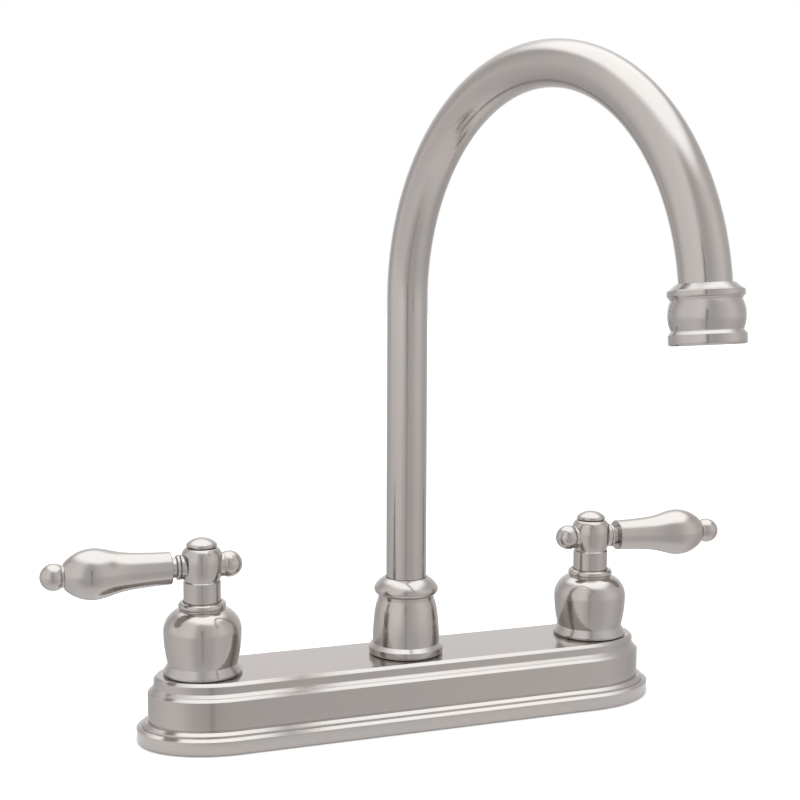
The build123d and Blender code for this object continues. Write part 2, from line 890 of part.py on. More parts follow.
def make_rod(name, x, toward):
    """Threaded rod from the hub's wall through collar and grip into the tip finial."""
    with BuildPart() as rod:
        with BuildSketch(along_plane(x, lever_direction(toward))):
            block(rod_start, tip_ball_at + rod_grip_depth - seat_gap, 0, rod_radius)
        revolve(axis=along_axis(x, lever_direction(toward)))
    save(rod, name)


for side, toward in (("hot", -1), ("cold", 1)):
    x = toward * half_spacing
    make_cartridge_shell(f"{side}_cartridge_shell", x)
    make_seat_seal(f"{side}_seat_seal", x)
    make_disc(f"{side}_fixed_disc", x, fixed_disc_bottom, barrel_bore_radius - face_gap, 0)
    make_disc(f"{side}_moving_disc", x, moving_disc_bottom, barrel_bore_radius - seat_gap, 90)
    make_stem(f"{side}_stem", x)
    make_stem_o_rings(f"{side}_stem_o_rings", x)
    make_bell(f"{side}_bell", x)
    make_hub(f"{side}_handle_hub", x, toward)
    make_handle_screw(f"{side}_handle_screw", x)
    make_button(f"{side}_index_button", x)
    make_collar(f"{side}_lever_collar", x, toward)
    make_grip(f"{side}_lever_grip", x, toward)
    make_rod(f"{side}_lever_rod", x, toward)
    make_tip_finial(f"{side}_tip_finial", x, toward)
    make_back_finial(f"{side}_back_finial", x, toward)

# ---------------------------------------------------------------- spout base
with BuildPart() as spout_base_cover:
    flange_roof = deck_top + cover_flange_height
    flange_rim = cover_flange_radius - cover_flange_edge
    shoulder_foot = deck_top + cover_height
    neck_foot = shoulder_foot + cover_shoulder_height
    with BuildSketch(upright()):
        with BuildLine():
            Line((0, deck_top), (flange_rim, deck_top))
            TangentArc(
                (flange_rim, deck_top),
                (cover_flange_radius, deck_top + cover_flange_edge),
                tangent=(1, 0),
            )
            Polyline(
                (cover_flange_radius, deck_top + cover_flange_edge),
                (cover_flange_radius, flange_roof - cover_flange_bevel),
                (cover_foot_radius, flange_roof),
            )
            flank = TangentArc(
                (cover_foot_radius, flange_roof), (cover_top_radius, shoulder_foot), tangent=(0, 1)
            )
            TangentArc(
                (cover_top_radius, shoulder_foot), (cover_neck_radius, neck_foot), tangent=flank % 1
            )
            Polyline(
                (cover_neck_radius, neck_foot),
                (cover_neck_radius, cover_top),
                (0, cover_top),
                (0, deck_top),
            )
        make_face()
    revolve(axis=upright_axis())
    with BuildSketch(upright()):
        block(0, lock_nut_radius + thread_gap, deck_top, lock_nut_top + seat_gap)
        block(0, cover_top_radius - cover_wall, deck_top, shoulder_foot - cover_wall)
        block(0, hub_thread_radius + thread_gap, deck_top, cover_top)
    revolve(axis=upright_axis(), mode=Mode.SUBTRACT)
save(spout_base_cover, "spout_base_cover")

with BuildPart() as spout_ring_nut:
    ring_shoulder = nut_bottom + ring_shoulder_height
    lip_radius = nut_bore_radius + ring_lip
    with BuildSketch(upright()):
        with BuildLine():
            Line((0, nut_bottom), (ring_foot_radius, nut_bottom))
            rim = ThreePointArc(
                (ring_foot_radius, nut_bottom),
                (ring_radius, nut_bottom + ring_widest_height),
                (ring_shoulder_radius, ring_shoulder),
            )
            TangentArc(rim @ 1, (lip_radius, nut_top), tangent=rim % 1)
            Polyline((lip_radius, nut_top), (0, nut_top), (0, nut_bottom))
        make_face()
    revolve(axis=upright_axis())
    with BuildSketch(upright()):
        block(0, hub_thread_radius + thread_gap, nut_bottom, nut_shoulder)
        block(0, nut_bore_radius, nut_shoulder, nut_top)
    revolve(axis=upright_axis(), mode=Mode.SUBTRACT)
save(spout_ring_nut, "spout_ring_nut")

with BuildPart() as spout_bearing_rings:
    with BuildSketch(upright()):
        block(spigot_bore_radius, hub_thread_radius, hub_rim, hub_rim + bearing_thickness)
        block(nut_bore_radius, hub_thread_radius, glide_bottom, nut_shoulder)
    revolve(axis=upright_axis())
save(spout_bearing_rings, "spout_bearing_rings")

# ---------------------------------------------------------------- spout
with BuildPart() as spout_spigot:
    groove_floor = spigot_radius - o_ring_groove_depth
    lowest_groove = hub_rim - spigot_length + o_ring_groove_width
    with BuildSketch(upright()):
        block(0, spigot_radius, hub_rim - spigot_length, flange_bottom)
        block(0, spigot_flange_radius, flange_bottom, flange_top)
        block(0, tube_radius - tube_wall - face_gap, flange_top, flange_top + spigot_sleeve_length)
    revolve(axis=upright_axis())
    with BuildSketch(upright()):
        block(
            0,
            spigot_radius - spigot_wall,
            hub_rim - spigot_length,
            flange_top + spigot_sleeve_length,
        )
        for groove in range(o_ring_count):
            bottom = lowest_groove + groove * o_ring_pitch
            block(groove_floor, spigot_radius, bottom, bottom + o_ring_groove_width)
    revolve(axis=upright_axis(), mode=Mode.SUBTRACT)
save(spout_spigot, "spout_spigot")

with BuildPart() as spout_o_rings:
    ring_section = (spigot_bore_radius - running_gap / 2 - groove_floor) / 2
    with BuildSketch(upright()):
        for groove in range(o_ring_count):
            middle = lowest_groove + groove * o_ring_pitch + o_ring_groove_width / 2
            with Locations((groove_floor + ring_section, middle)):
                Circle(ring_section)
    revolve(axis=upright_axis())
save(spout_o_rings, "spout_o_rings")

with BuildPart() as spout_tube:
    with BuildLine(Plane(origin=(0, 0, 0), x_dir=spout_out, z_dir=-spout_side)) as gooseneck:
        Line((0, flange_top), (0, spring_line))
        CenterArc((arc_radius, spring_line), arc_radius, 180, outlet_tilt - 180)
    with BuildSketch(Plane.XY.offset(flange_top)):
        Circle(tube_radius)
        Circle(tube_radius - tube_wall, mode=Mode.SUBTRACT)
    sweep(path=gooseneck.line)
save(spout_tube, "spout_tube")

# ---------------------------------------------------------------- outlet
outlet_plane = Plane(origin=tube_end, x_dir=spout_side, z_dir=spout_side.cross(outlet_down))
outlet_axis = Axis(tube_end, outlet_down)
collar_top = -collar_above_tube_end
collar_bottom = collar_top + outlet_length
aerator_top = outlet_stop_length
aerator_bottom = collar_bottom - aerator_recess
tube_drift = collar_above_tube_end**2 / (2 * arc_radius)

with BuildPart() as outlet_collar:
    cone_end = collar_top + outlet_cone_length
    ring_end = cone_end + outlet_ring_length
    low_ring = collar_bottom - outlet_low_ring_length
    with BuildSketch(outlet_plane):
        with BuildLine():
            Polyline(
                (0, collar_top),
                (outlet_lip_radius, collar_top),
                (outlet_cone_radius, cone_end),
                (outlet_ring_radius - outlet_edge / 2, cone_end),
                (outlet_ring_radius, cone_end + outlet_edge / 2),
                (outlet_ring_radius, ring_end - outlet_edge),
                (outlet_ring_radius - outlet_edge, ring_end),
                (outlet_waist_radius, collar_top + outlet_waist_at),
            )
            ThreePointArc(
                (outlet_waist_radius, collar_top + outlet_waist_at),
                (outlet_bulb_radius, collar_top + outlet_bulb_at),
                (outlet_low_waist_radius, collar_top + outlet_low_waist_at),
            )
            Polyline(
                (outlet_low_waist_radius, collar_top + outlet_low_waist_at),
                (outlet_low_ring_radius, low_ring),
                (outlet_low_ring_radius, collar_bottom - outlet_bottom_edge),
            )
            TangentArc(
                (outlet_low_ring_radius, collar_bottom - outlet_bottom_edge),
                (outlet_low_ring_radius - outlet_bottom_edge, collar_bottom),
                tangent=(0, 1),
            )
            Polyline(
                (outlet_low_ring_radius - outlet_bottom_edge, collar_bottom),
                (0, collar_bottom),
                (0, collar_top),
            )
        make_face()
    revolve(axis=outlet_axis)
    with BuildSketch(outlet_plane):
        block(0, tube_radius + tube_drift + face_gap, collar_top, 0)
        block(0, tube_radius - tube_wall, 0, aerator_top)
        block(0, aerator_radius + thread_gap, aerator_top, collar_bottom)
    revolve(axis=outlet_axis, mode=Mode.SUBTRACT)
save(outlet_collar, "outlet_collar")

with BuildPart() as aerator_washer:
    with BuildSketch(outlet_plane):
        block(
            tube_radius - tube_wall,
            aerator_radius - face_gap,
            aerator_top,
            aerator_top + aerator_washer_thickness,
        )
    revolve(axis=outlet_axis)
save(aerator_washer, "aerator_washer")

with BuildPart() as aerator_housing:
    with BuildSketch(outlet_plane):
        block(
            aerator_radius - aerator_wall,
            aerator_radius,
            aerator_top + aerator_washer_thickness,
            aerator_bottom,
        )
        block(
            aerator_radius - aerator_wall - aerator_lip,
            aerator_radius,
            aerator_bottom - aerator_lip,
            aerator_bottom,
        )
    revolve(axis=outlet_axis)
save(aerator_housing, "aerator_housing")

with BuildPart() as aerator_insert:
    insert_radius = aerator_radius - aerator_wall - face_gap
    insert_bottom = aerator_bottom - aerator_lip
    field_radius = insert_radius - aerator_lip - 2 * aerator_hole_radius
    with BuildSketch(outlet_plane):
        insert_top = insert_bottom - aerator_insert_height
        block(insert_radius - aerator_lip, insert_radius, insert_top, insert_bottom)
        block(0, insert_radius, insert_bottom - aerator_plate, insert_bottom)
    revolve(axis=outlet_axis)
    screen_plane = Plane(
        origin=tube_end + outlet_down * insert_bottom, x_dir=spout_side, z_dir=outlet_down
    )
    reach = int(field_radius / aerator_hole_pitch)
    with BuildSketch(screen_plane):
        for across in range(-reach, reach + 1):
            for along in range(-reach, reach + 1):
                hole = Vector(across * aerator_hole_pitch, along * aerator_hole_pitch)
                if hole.length <= field_radius:
                    with Locations(hole):
                        Circle(aerator_hole_radius)
    extrude(amount=-aerator_plate, mode=Mode.SUBTRACT)
save(aerator_insert, "aerator_insert")
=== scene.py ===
import json
from math import cos, pi, radians, sin

import bpy
from mathutils import Matrix, Vector


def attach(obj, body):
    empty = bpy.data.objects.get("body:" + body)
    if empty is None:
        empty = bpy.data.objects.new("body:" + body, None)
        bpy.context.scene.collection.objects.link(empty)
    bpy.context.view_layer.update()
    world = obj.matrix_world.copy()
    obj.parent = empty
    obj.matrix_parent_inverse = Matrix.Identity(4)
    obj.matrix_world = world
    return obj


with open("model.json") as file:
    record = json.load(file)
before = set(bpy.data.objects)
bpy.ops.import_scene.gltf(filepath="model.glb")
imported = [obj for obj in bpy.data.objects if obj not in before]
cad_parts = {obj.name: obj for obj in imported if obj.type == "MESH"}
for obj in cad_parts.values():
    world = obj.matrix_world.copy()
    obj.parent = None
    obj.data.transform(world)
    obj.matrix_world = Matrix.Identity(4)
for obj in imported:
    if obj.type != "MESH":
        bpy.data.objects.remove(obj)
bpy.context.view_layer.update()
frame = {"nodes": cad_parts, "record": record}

MM = 0.001

# ---------------------------------------------------------------- the photograph's camera
CAMERA_YAW = radians(-20.717)
CAMERA_PITCH = radians(-6.069)
CAMERA_ROLL = radians(0.229)
CAMERA_PLACE = Vector((-244.27, -636.37, 228.26)) * MM
PHOTO_SIDE = 800
FOCAL_PIXELS = 1416.34
SENSOR_WIDTH = 36.0
CLIP_NEAR = 0.01
CLIP_FAR = 50


def make_camera():
    """The pinhole camera that the photograph's outlines give."""
    ahead = Vector((
        -sin(CAMERA_YAW) * cos(CAMERA_PITCH),
        cos(CAMERA_YAW) * cos(CAMERA_PITCH),
        sin(CAMERA_PITCH),
    ))
    level_right = Vector((cos(CAMERA_YAW), sin(CAMERA_YAW), 0))
    level_up = level_right.cross(ahead)
    right = level_right * cos(CAMERA_ROLL) + level_up * sin(CAMERA_ROLL)
    up = level_up * cos(CAMERA_ROLL) - level_right * sin(CAMERA_ROLL)
    data = bpy.data.cameras.new("camera")
    data.sensor_width = SENSOR_WIDTH
    data.lens = FOCAL_PIXELS * SENSOR_WIDTH / PHOTO_SIDE
    data.clip_start = CLIP_NEAR
    data.clip_end = CLIP_FAR
    camera = bpy.data.objects.new("camera", data)
    turn = Matrix((right, up, -ahead)).transposed().to_4x4()
    camera.matrix_world = Matrix.Translation(CAMERA_PLACE) @ turn
    bpy.context.scene.collection.objects.link(camera)
    bpy.context.scene.camera = camera


# ---------------------------------------------------------------- node helpers
# The Mix node's colour sockets by index, since its socket names repeat for each type
MIX_SHARE = 0
MIX_FIRST = 6
MIX_SECOND = 7
MIX_RESULT = 2
# A noise lies mostly between these
NOISE_LOW = 0.3
NOISE_HIGH = 0.7
WHITE = (1, 1, 1, 1)


def grey(level):
    return (level, level, level, 1)


class Nodes:
    """A short way to add nodes and links to one node tree."""

    def __init__(self, tree):
        self.tree = tree
        self.tree.nodes.clear()

    def add(self, kind, **settings):
        node = self.tree.nodes.new(kind)
        for name, value in settings.items():
            setattr(node, name, value)
        return node

    def link(self, source, target):
        self.tree.links.new(source, target)

    def put(self, target, value):
        """Link an output to an input, or set the input to a constant."""
        if isinstance(value, bpy.types.NodeSocket):
            self.link(value, target)
        else:
            target.default_value = value

    def place(self, kind="Object"):
        """The point that is shaded, or in a world the direction, as this kind of coordinates."""
        return self.add("ShaderNodeTexCoord").outputs[kind]

    def split(self, vector):
        """The x, y and z of a vector."""
        node = self.add("ShaderNodeSeparateXYZ")
        self.link(vector, node.inputs[0])
        return node.outputs

    def math(self, operation, *values):
        node = self.add("ShaderNodeMath", operation=operation)
        for socket, value in zip(node.inputs, values):
            self.put(socket, value)
        return node.outputs[0]

    def mix(self, share, first, second):
        """A colour from first, at share 0, to second, at share 1."""
        node = self.add("ShaderNodeMix", data_type="RGBA")
        self.put(node.inputs[MIX_SHARE], share)
        self.put(node.inputs[MIX_FIRST], first)
        self.put(node.inputs[MIX_SECOND], second)
        return node.outputs[MIX_RESULT]

    def span(self, value, low, high, to_low=0.0, to_high=1.0):
        """Map value from low..high to to_low..to_high, with soft ends, and hold it past them."""
        node = self.add("ShaderNodeMapRange", interpolation_type="SMOOTHSTEP")
        self.put(node.inputs[0], value)
        for socket, number in zip(node.inputs[1:5], (low, high, to_low, to_high)):
            socket.default_value = number
        return node.outputs[0]

    def noise(self, place, scale, detail):
        node = self.add("ShaderNodeTexNoise")
        self.put(node.inputs["Vector"], place)
        node.inputs["Scale"].default_value = scale
        node.inputs["Detail"].default_value = detail
        return node.outputs["Fac"]

    def bump(self, height, strength, distance):
        node = self.add("ShaderNodeBump")
        node.inputs["Strength"].default_value = strength
        node.inputs["Distance"].default_value = distance
        self.put(node.inputs["Height"], height)
        return node

    def surface(self, shader):
        """Show a shader's first output on the material's surface."""
        self.link(shader.outputs[0], self.add("ShaderNodeOutputMaterial").inputs[0])


# ---------------------------------------------------------------- studio
# Directions in the studio are azimuths about +Z: 0 is -Y, toward the sink, and 90 is +X.
HALF_TURN = 180
FULL_TURN = 360
ZENITH = 90
# The tent's wall in stretches: (azimuth in degrees, brightness)
WALL = (
    (-180, 0.92),
    (-165, 0.84),
    (-152, 0.70),
    (-140, 0.70),
    (-128, 0.90),
    (-108, 1.10),
    (-84, 1.10),
    (-62, 1.18),
    (-44, 1.18),
    (-36, 1.00),
    (-30, 0.84),
    (-22, 0.72),
    (-12, 0.70),
    (-2, 0.76),
    (10, 0.84),
    (22, 0.94),
    (45, 1.07),
    (58, 1.02),
    (76, 0.84),
    (100, 0.74),
    (122, 0.78),
    (138, 0.92),
    (152, 1.00),
    (168, 1.03),
    (180, 0.92),
)
# The ground round the object: (azimuth in degrees, brightness)
GROUND = (
    (-180, 0.60),
    (-160, 0.64),
    (-135, 0.78),
    (-105, 0.89),
    (-75, 0.96),
    (-55, 0.94),
    (-42, 0.80),
    (-30, 0.70),
    (-4, 0.71),
    (12, 0.73),
    (20, 0.77),
    (30, 0.85),
    (50, 0.86),
    (70, 0.78),
    (95, 0.66),
    (130, 0.68),
    (160, 0.70),
    (180, 0.60),
)
# Where the roof begins: (azimuth in degrees, elevation in degrees)
ROOF_RIM = (
    (-180, 40),
    (-160, 37),
    (-142, 44),
    (-125, 55),
    (-100, 60),
    (-65, 64),
    (-40, 62),
    (-10, 60),
    (30, 53),
    (75, 52),
    (110, 46),
    (150, 43),
    (180, 40),
)
RIM_SOFTNESS = radians(10)
ROOF_LIGHT = (1.98, 2.06, 2.08, 1)
# The ground turns into the wall between these elevations
GROUND_TOP = radians(-12)
WALL_FOOT = radians(0)
# Further down, between these elevations, the ground turns into an even underside
UNDERSIDE_RIM = radians(-35)
UNDERSIDE_FULL = radians(-65)
UNDERSIDE_BRIGHTNESS = 0.98

FLOOR_HALF = 4.0
FLOOR_PAINT = 0.86
FLOOR_GLOW_SEEN = 0.30
FLOOR_GLOW_MIRRORED = 0.10
# The metal mirrors the floor fully up to FLOOR_NEAR from the plate's middle line, and not at
# all from FLOOR_FAR on. PLATE_MIDDLE_HALF is half of that line's length.
PLATE_MIDDLE_HALF = 102.5 * MM
FLOOR_NEAR = 36 * MM
FLOOR_FAR = 57 * MM

# The camera and its stand, which the metal mirrors as a thin dim line down its middle
STAND_BEHIND = 40 * MM
STAND_HALF_WIDTH = 24 * MM
STAND_REACH = 450 * MM
STAND_CAMERA_FOOT = 110 * MM
STAND_FADE = 30 * MM
CAMERA_BRIGHTNESS = 0.18
STAND_BRIGHTNESS = 0.40


def around_ramp(n, around, stops, full):
    """A value that changes with azimuth; full is the stop value that gives 1."""
    ramp = n.add("ShaderNodeValToRGB")
    n.link(around, ramp.inputs[0])
    steps = ramp.color_ramp.elements
    while len(steps) < len(stops):
        steps.new(0.5)
    for step, (degrees, value) in zip(steps, stops):
        step.position = (degrees + HALF_TURN) / FULL_TURN
        step.color = grey(value / full)
    return ramp.outputs[0]


def make_world():
    """A pale studio tent: uneven walls, a bright roof and a ground. The camera sees white."""
    world = bpy.data.worlds.new("tent")
    bpy.context.scene.world = world
    world.use_nodes = True
    n = Nodes(world.node_tree)
    x, y, z = n.split(n.place("Generated"))
    azimuth = n.math("ARCTAN2", x, n.math("MULTIPLY", y, -1.0))
    around = n.math("MULTIPLY_ADD", azimuth, 1 / (2 * pi), 0.5)
    wall = around_ramp(n, around, WALL, 1)
    rim = n.math("MULTIPLY", around_ramp(n, around, ROOF_RIM, ZENITH), radians(ZENITH))
    elevation = n.math("ARCSINE", z)
    over_rim = n.math("SUBTRACT", elevation, rim)
    roof = n.span(over_rim, -RIM_SOFTNESS, RIM_SOFTNESS)
    above = n.mix(roof, wall, ROOF_LIGHT)
    ground = n.mix(
        n.span(elevation, UNDERSIDE_RIM, UNDERSIDE_FULL),
        around_ramp(n, around, GROUND, 1),
        grey(UNDERSIDE_BRIGHTNESS),
    )
    mirrored = n.mix(n.span(elevation, GROUND_TOP, WALL_FOOT), ground, above)
    rays = n.add("ShaderNodeLightPath").outputs
    straight = n.math("MAXIMUM", rays["Is Camera Ray"], rays["Is Transmission Ray"])
    light = n.add("ShaderNodeBackground")
    n.link(n.mix(straight, mirrored, WHITE), light.inputs["Color"])
    out = n.add("ShaderNodeOutputWorld")
    n.link(light.outputs[0], out.inputs[0])


def make_sheet(name, middle, across, along):
    """A flat four-sided piece, and the nodes of its new material. across and along are the
    ways from its middle to its sides."""
    mesh = bpy.data.meshes.new(name)
    mesh.from_pydata(
        [middle + across * a + along * b for a, b in ((-1, -1), (1, -1), (1, 1), (-1, 1))],
        [],
        [(0, 1, 2, 3)],
    )
    sheet = bpy.data.objects.new(name, mesh)
    bpy.context.scene.collection.objects.link(sheet)
    material = bpy.data.materials.new(name)
    material.use_nodes = True
    mesh.materials.append(material)
    return sheet, Nodes(material.node_tree)


def make_floor():
    """A white floor level with the deck that keeps a soft shadow. It shows from above only.
    The metal mirrors it close to the plate, and the tent's ground through it further out."""
    floor, n = make_sheet(
        "floor", Vector((0, 0, 0)), Vector((FLOOR_HALF, 0, 0)), Vector((0, FLOOR_HALF, 0))
    )
    paint = n.add("ShaderNodeBsdfDiffuse")
    paint.inputs["Color"].default_value = grey(FLOOR_PAINT)
    glow = n.add("ShaderNodeEmission")
    glow.inputs["Color"].default_value = WHITE
    rays = n.add("ShaderNodeLightPath").outputs
    seen = n.math("MULTIPLY", rays["Is Camera Ray"], FLOOR_GLOW_SEEN)
    mirrored = n.math("MULTIPLY", rays["Is Glossy Ray"], FLOOR_GLOW_MIRRORED)
    n.put(glow.inputs["Strength"], n.math("ADD", seen, mirrored))
    both = n.add("ShaderNodeAddShader")
    n.link(paint.outputs[0], both.inputs[0])
    n.link(glow.outputs[0], both.inputs[1])
    clear = n.add("ShaderNodeBsdfTransparent")
    x, y, _ = n.split(n.place())
    over_end = n.math("SUBTRACT", n.math("ABSOLUTE", x), PLATE_MIDDLE_HALF)
    past_end = n.math("MAXIMUM", over_end, 0.0)
    squares = n.math("ADD", n.math("MULTIPLY", past_end, past_end), n.math("MULTIPLY", y, y))
    far = n.span(n.math("SQRT", squares), FLOOR_NEAR, FLOOR_FAR)
    from_below = n.add("ShaderNodeNewGeometry").outputs["Backfacing"]
    mirrored_far = n.math("MULTIPLY", rays["Is Glossy Ray"], far)
    one_sided = n.add("ShaderNodeMixShader")
    n.put(one_sided.inputs[0], n.math("MAXIMUM", from_below, mirrored_far))
    n.link(both.outputs[0], one_sided.inputs[1])
    n.link(clear.outputs[0], one_sided.inputs[2])
    n.surface(one_sided)


def make_camera_stand():
    """A narrow dim upright just behind the camera. It shows in the metal alone."""
    below_camera = Vector((CAMERA_PLACE.x, CAMERA_PLACE.y, 0))
    outward = below_camera.normalized()
    stand, n = make_sheet(
        "camera_stand",
        below_camera + outward * STAND_BEHIND,
        outward.cross(Vector((0, 0, 1))) * STAND_HALF_WIDTH,
        Vector((0, 0, STAND_REACH)),
    )
    _, _, height = n.split(n.place())
    glow = n.add("ShaderNodeEmission")
    n.put(glow.inputs["Strength"], n.span(
        height, STAND_CAMERA_FOOT, STAND_CAMERA_FOOT + STAND_FADE,
        STAND_BRIGHTNESS, CAMERA_BRIGHTNESS,
    ))
    n.surface(glow)
    stand.visible_camera = False
    stand.visible_diffuse = False
    stand.visible_shadow = False


# ---------------------------------------------------------------- materials
NICKEL = (0.452, 0.423, 0.407, 1)
NICKEL_WARM = (0.466, 0.424, 0.402, 1)
# Painted highlight: the lighter nickel that the edges turn toward
NICKEL_EDGE_HIGHLIGHT = (0.52, 0.50, 0.48, 1)
NICKEL_LEAST_ROUGHNESS = 0.125
NICKEL_MOST_ROUGHNESS = 0.16
NICKEL_PATCH_SCALE = 38.0
NICKEL_SMEAR_SCALE = 120.0
# NICKEL turns into NICKEL_WARM between these values of the patches
NICKEL_TONES = (0.35, 0.65)
GRAIN_ROUGHNESS = 0.04
GRAIN_BUMP = 0.06
GRAIN_DEPTH = 0.02 * MM
# Noise scales along X, Y and Z: the brushing runs along the small ones
NICKEL_GRAINS = {
    "plate": (60, 1600, 1600),
    "turned": (120, 120, 2600),
    "lever": (2600, 120, 120),
    "tube": (1800, 1800, 120),
}
# An edge is where the rounded normal leaves the face's own. The colour is lightened there as a
# painted highlight, which begins and is full at these cosines between the two.
EDGE_RADIUS = 0.35 * MM
EDGE_SAMPLES = 4
EDGE_START = 0.98
EDGE_FULL = 0.80
# Painted highlight: how far the edges turn toward the lighter nickel
EDGE_HIGHLIGHT_SHARE = 0.5

BRASS = (0.46, 0.32, 0.13, 1)
BRASS_DARK = (0.26, 0.17, 0.07, 1)
BRASS_LEAST_ROUGHNESS = 0.28
BRASS_MOST_ROUGHNESS = 0.45
BRASS_PATCH_SCALE = 90.0
# BRASS turns into BRASS_DARK between these values of the patches
BRASS_TONES = (0.3, 0.75)
BRASS_SKIN_SCALE = 2500.0
BRASS_BUMP = 0.25
BRASS_DEPTH = 0.05 * MM

MOULDED_PATCH_SCALE = 140.0
MOULDED_ROUGHNESS_SHARE = 0.1
MOULDED_BUMP = 0.2
MOULDED_DEPTH = 0.03 * MM


def start_material(name, metallic):
    """A new material: itself, its nodes, its shader and the place on the object."""
    material = bpy.data.materials.new(name)
    material.use_nodes = True
    n = Nodes(material.node_tree)
    shader = n.add("ShaderNodeBsdfPrincipled")
    shader.inputs["Metallic"].default_value = metallic
    n.surface(shader)
    return material, n, shader, n.place()


def satin_nickel(name, grain_scale):
    """Satin nickel plate: fine brushed grain, slight tone patches and a painted highlight that
    lightens the edges.
    """
    material, n, shader, place = start_material(name, 1.0)
    stretched = n.add("ShaderNodeMapping")
    n.link(place, stretched.inputs["Vector"])
    stretched.inputs["Scale"].default_value = grain_scale
    grain = n.noise(stretched.outputs[0], 1.0, detail=4)
    patches = n.noise(place, NICKEL_PATCH_SCALE, detail=2)
    smears = n.noise(place, NICKEL_SMEAR_SCALE, detail=4)
    soft = n.add("ShaderNodeBevel", samples=EDGE_SAMPLES)
    soft.inputs["Radius"].default_value = EDGE_RADIUS
    flat = n.add("ShaderNodeNewGeometry").outputs["Normal"]
    agree = n.add("ShaderNodeVectorMath", operation="DOT_PRODUCT")
    n.link(soft.outputs[0], agree.inputs[0])
    n.link(flat, agree.inputs[1])
    edge = n.span(agree.outputs["Value"], EDGE_START, EDGE_FULL)
    tone = n.mix(n.span(patches, *NICKEL_TONES), NICKEL, NICKEL_WARM)
    # Painted highlight: the base colour turns lighter at the edges
    edge_highlight = n.math("MULTIPLY", edge, EDGE_HIGHLIGHT_SHARE)
    n.put(shader.inputs["Base Color"], n.mix(edge_highlight, tone, NICKEL_EDGE_HIGHLIGHT))
    smeared = n.span(
        smears, NOISE_LOW, NOISE_HIGH, NICKEL_LEAST_ROUGHNESS, NICKEL_MOST_ROUGHNESS
    )
    grained = n.span(grain, NOISE_LOW, NOISE_HIGH, 0.0, GRAIN_ROUGHNESS)
    n.put(shader.inputs["Roughness"], n.math("ADD", smeared, grained))
    bump = n.bump(grain, GRAIN_BUMP, GRAIN_DEPTH)
    n.link(soft.outputs[0], bump.inputs["Normal"])
    n.link(bump.outputs[0], shader.inputs["Normal"])
    return material


def raw_brass(name):
    """Cast and machined brass: a slight skin of noise, darker in patches."""
    material, n, shader, place = start_material(name, 1.0)
    patches = n.noise(place, BRASS_PATCH_SCALE, detail=5)
    n.put(
        shader.inputs["Base Color"], n.mix(n.span(patches, *BRASS_TONES), BRASS, BRASS_DARK)
    )
    n.put(
        shader.inputs["Roughness"],
        n.span(patches, NOISE_LOW, NOISE_HIGH, BRASS_LEAST_ROUGHNESS, BRASS_MOST_ROUGHNESS),
    )
    bump = n.bump(n.noise(place, BRASS_SKIN_SCALE, detail=3), BRASS_BUMP, BRASS_DEPTH)
    n.link(bump.outputs[0], shader.inputs["Normal"])
    return material


def moulded(name, colour, light_colour, roughness, skin_scale, metallic=0.0):
    """Plastic, rubber, ceramic or plated steel: two close tones and a fine skin."""
    material, n, shader, place = start_material(name, metallic)
    patches = n.noise(place, MOULDED_PATCH_SCALE, detail=4)
    tone = n.mix(n.span(patches, NOISE_LOW, NOISE_HIGH), colour, light_colour)
    n.put(shader.inputs["Base Color"], tone)
    n.put(shader.inputs["Roughness"], n.span(
        patches, NOISE_LOW, NOISE_HIGH,
        roughness * (1 - MOULDED_ROUGHNESS_SHARE), roughness * (1 + MOULDED_ROUGHNESS_SHARE),
    ))
    bump = n.bump(n.noise(place, skin_scale, detail=3), MOULDED_BUMP, MOULDED_DEPTH)
    n.link(bump.outputs[0], shader.inputs["Normal"])
    return material


def make_materials():
    """The materials by slot, and the satin nickel ones by how their grain runs."""
    nickels = {
        grain: satin_nickel(f"satin_nickel_{grain}", scales)
        for grain, scales in NICKEL_GRAINS.items()
    }
    return {
        **nickels,
        "raw_brass": raw_brass("raw_brass"),
        "steel": moulded(
            "zinc_steel", (0.50, 0.51, 0.52, 1), (0.58, 0.58, 0.57, 1), 0.32, 1800, metallic=1.0
        ),
        "gasket_rubber": moulded(
            "gasket_rubber", (0.030, 0.030, 0.031, 1), (0.045, 0.045, 0.046, 1), 0.75, 1500
        ),
        "seal_rubber": moulded(
            "seal_rubber", (0.022, 0.022, 0.022, 1), (0.032, 0.032, 0.032, 1), 0.5, 3000
        ),
        "disc_ceramic": moulded(
            "disc_ceramic", (0.80, 0.79, 0.76, 1), (0.84, 0.83, 0.80, 1), 0.15, 4000
        ),
        "black_plastic": moulded(
            "black_plastic", (0.035, 0.035, 0.038, 1), (0.050, 0.050, 0.052, 1), 0.42, 2500
        ),
        "white_plastic": moulded(
            "white_plastic", (0.76, 0.76, 0.74, 1), (0.80, 0.80, 0.78, 1), 0.4, 2500
        ),
        "grey_plastic": moulded(
            "grey_plastic", (0.52, 0.53, 0.54, 1), (0.57, 0.58, 0.59, 1), 0.35, 2500
        ),
    }


def grain_of(node):
    """How the satin grain runs on a nickel node: a key of NICKEL_GRAINS."""
    if node == "deck_plate":
        return "plate"
    if node == "spout_tube":
        return "tube"
    if "lever" in node or "finial" in node:
        return "lever"
    return "turned"


def dress_nodes(materials):
    """Give every carried-over CAD node its finish."""
    slots = {s["node"]: s["material_slot"] for s in frame["record"]["subparts"]}
    for node, obj in frame["nodes"].items():
        slot = slots[node]
        key = grain_of(node) if slot == "satin_nickel" else slot
        obj.data.materials.clear()
        obj.data.materials.append(materials[key])


